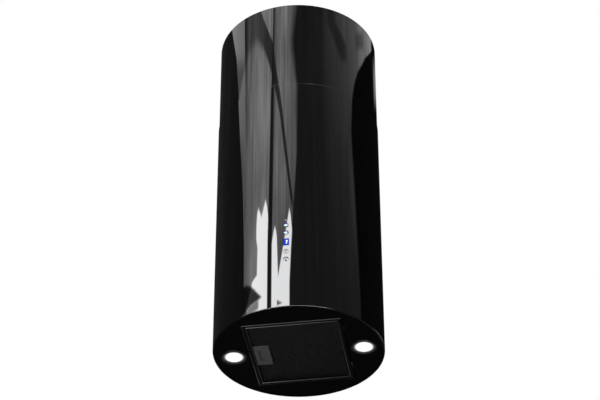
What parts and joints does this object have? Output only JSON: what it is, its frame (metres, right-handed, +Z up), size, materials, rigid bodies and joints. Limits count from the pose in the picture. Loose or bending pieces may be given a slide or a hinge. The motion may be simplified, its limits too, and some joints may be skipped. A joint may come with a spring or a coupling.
{
  "type": "island range hood",
  "caption": "Cylindrical black island range hood hung from the ceiling, with a telescopic shaft, front controls, a hinged grease filter and LED lamps in its base.",
  "frame": {"origin": "middle of the ceiling plate's top face, where the hood meets the ceiling", "axes": "+Z up along the shaft, -Y is the front with the controls, +X is to the right when facing the controls; the hood hangs down to z = -0.88 m"},
  "size_m": [0.39, 0.3906, 0.88],
  "materials": {
    "gloss_black": "gloss",
    "panel_black": "satin",
    "filter_black": "matte",
    "latch_grey": "satin",
    "galvanised": "satin",
    "aluminium": "satin",
    "spring_steel": "satin",
    "black_plastic": "matte",
    "gloss_black_plastic": "gloss",
    "grey_plastic": "matte",
    "circuit_board": "satin",
    "lens_white": "satin",
    "display_blue": "gloss"
  },
  "bodies": {
    "ceiling_frame": {"ceiling_plate": "galvanised", "upper_tube": "gloss_black", "upper_strut_front_right": "galvanised", "upper_strut_back_right": "galvanised", "upper_strut_back_left": "galvanised", "upper_strut_front_left": "galvanised"},
    "hood": {"lower_tube": "gloss_black", "base_panel": "panel_black", "mounting_ring": "galvanised", "motor_chassis": "galvanised", "control_carrier": "black_plastic", "control_board": "circuit_board", "display_module": "display_blue", "status_light": "lens_white", "scroll_right": "black_plastic", "scroll_left": "black_plastic", "motor_can": "galvanised", "motor_bracket": "galvanised", "inlet_guard": "black_plastic", "outlet_collar": "black_plastic", "flap_pin": "spring_steel", "electronics_box": "black_plastic", "electronics_cover": "black_plastic", "cable_gland": "grey_plastic", "lamp_driver": "grey_plastic", "motor_capacitor": "aluminium", "lower_strut_front_right": "galvanised", "strut_bolt_front_right": "spring_steel", "lower_strut_back_right": "galvanised", "strut_bolt_back_right": "spring_steel", "lower_strut_back_left": "galvanised", "strut_bolt_back_left": "spring_steel", "lower_strut_front_left": "galvanised", "strut_bolt_front_left": "spring_steel", "lamp_bezel_left": "panel_black", "lamp_lens_left": "lens_white", "lamp_heatsink_left": "aluminium", "lamp_clip_left": "spring_steel", "lamp_bezel_right": "panel_black", "lamp_lens_right": "lens_white", "lamp_heatsink_right": "aluminium", "lamp_clip_right": "spring_steel"},
    "fan": {"fan_wheel": "grey_plastic", "motor_rotor": "spring_steel"},
    "flap_front": {"flap_front": "grey_plastic"},
    "flap_back": {"flap_back": "grey_plastic"},
    "filter": {"filter_frame": "filter_black", "filter_face_mesh": "filter_black", "filter_core_mesh": "aluminium", "filter_back_mesh": "aluminium", "filter_hook_front": "spring_steel", "filter_hook_back": "spring_steel", "latch_housing": "latch_grey", "latch_spring": "spring_steel"},
    "filter_latch": {"latch_slider": "latch_grey"},
    "light_button": {"button_light": "gloss_black_plastic"},
    "speed_down_button": {"button_speed_down": "gloss_black_plastic"},
    "speed_up_button": {"button_speed_up": "gloss_black_plastic"},
    "power_button": {"button_power": "gloss_black_plastic"}
  },
  "joints": [
    {"name": "height_adjust", "type": "slide", "parent": "ceiling_frame", "child": "hood", "axis": [0, 0, 1], "range_m": [-0.15, 0.16]},
    {"name": "fan_spin", "type": "hinge", "parent": "hood", "child": "fan", "pos_m": [0, -0.037, -0.675], "axis": [1, 0, 0], "continuous": true},
    {"name": "flap_front_swing", "type": "hinge", "parent": "hood", "child": "flap_front", "pos_m": [0, 0, -0.518], "axis": [-1, 0, 0], "range_deg": [0, 75]},
    {"name": "flap_back_swing", "type": "hinge", "parent": "hood", "child": "flap_back", "pos_m": [0, 0, -0.518], "axis": [1, 0, 0], "range_deg": [0, 75]},
    {"name": "filter_swing", "type": "hinge", "parent": "hood", "child": "filter", "pos_m": [0.1141, 0, -0.8774], "axis": [0, -1, 0], "range_deg": [0, 75]},
    {"name": "latch_slide", "type": "slide", "parent": "filter", "child": "filter_latch", "axis": [1, 0, 0], "range_m": [0, 0.0065], "stiffness_N_per_m": 350, "springref_m": -0.004, "deforming": ["latch_spring"]},
    {"name": "light_press", "type": "slide", "parent": "hood", "child": "light_button", "axis": [0, 1, 0], "range_m": [0, 0.0012], "stiffness_N_per_m": 500, "springref_m": -0.0006},
    {"name": "speed_down_press", "type": "slide", "parent": "hood", "child": "speed_down_button", "axis": [0, 1, 0], "range_m": [0, 0.0012], "stiffness_N_per_m": 500, "springref_m": -0.0006},
    {"name": "speed_up_press", "type": "slide", "parent": "hood", "child": "speed_up_button", "axis": [0, 1, 0], "range_m": [0, 0.0012], "stiffness_N_per_m": 500, "springref_m": -0.0006},
    {"name": "power_press", "type": "slide", "parent": "hood", "child": "power_button", "axis": [0, 1, 0], "range_m": [0, 0.0012], "stiffness_N_per_m": 500, "springref_m": -0.0006}
  ]
}
